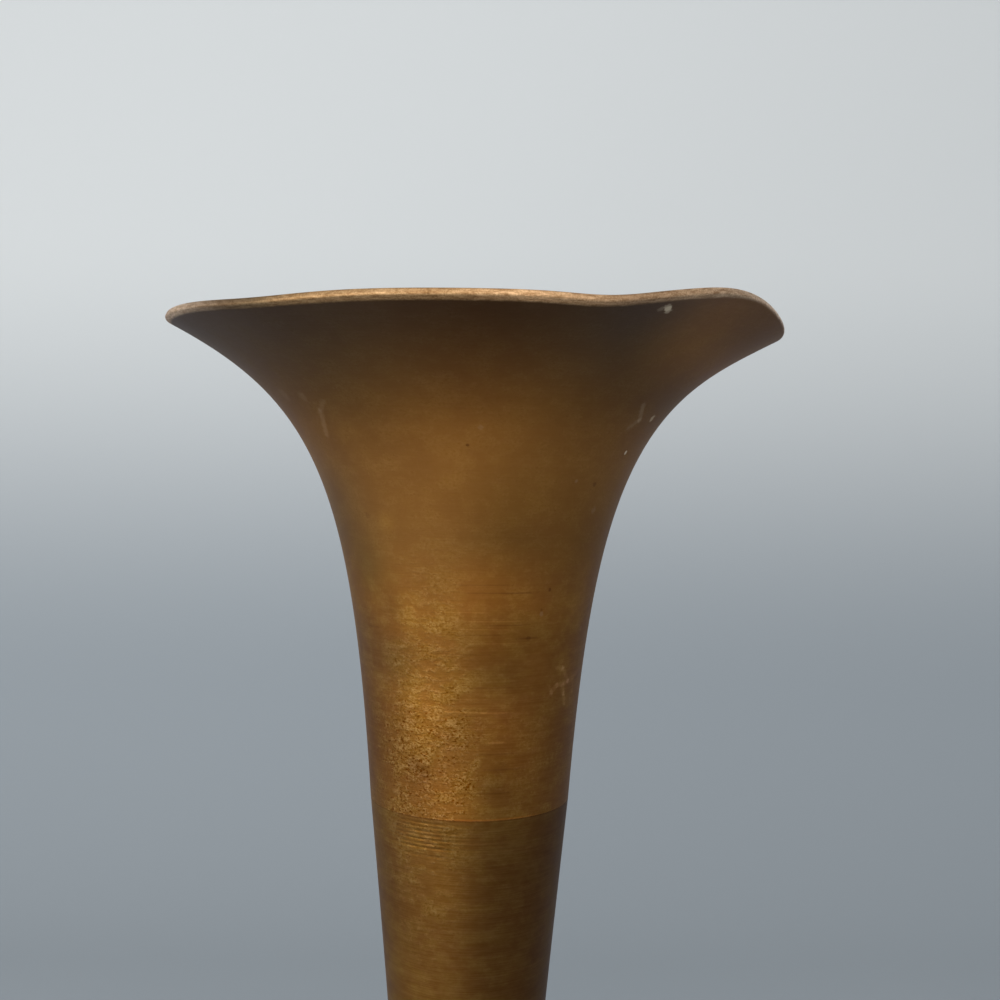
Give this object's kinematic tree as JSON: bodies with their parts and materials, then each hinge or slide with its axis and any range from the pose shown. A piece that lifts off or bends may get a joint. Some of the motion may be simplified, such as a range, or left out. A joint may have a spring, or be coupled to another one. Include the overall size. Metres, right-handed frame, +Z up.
{
  "type": "trumpet vase",
  "caption": "Tall slim turned brass vase that flares to a wide thin lip with a shallow wave, on a domed weighted foot; holds cut flowers in water.",
  "frame": {"origin": "on the vase's axis, on the surface that it stands on", "axes": "+Z up along the axis, +X towards the middle of the shallow dip in the lip; the pictured side faces -Y"},
  "size_m": [0.1122, 0.1122, 0.284],
  "materials": {
    "mouth_brass": "aged brown patina over brushed brass, satin, with a brighter worn lip",
    "stem_brass": "aged brown patina with fine turned grooves under the joint",
    "foot_brass": "aged brown patina, satin",
    "inner_brass": "dull turned brass",
    "cast_iron": "rough casting",
    "zinc_steel": "zinc plated",
    "felt": "dark pressed felt"
  },
  "bodies": {
    "root": {"mouth": "mouth_brass", "joint_sleeve": "inner_brass", "stem": "stem_brass", "stem_floor": "inner_brass", "foot_collar": "foot_brass", "foot": "foot_brass", "ballast_ring": "cast_iron", "tie_washer": "zinc_steel", "tie_bolt": "zinc_steel", "base_plate": "inner_brass", "felt_pad": "felt"}
  },
  "joints": []
}
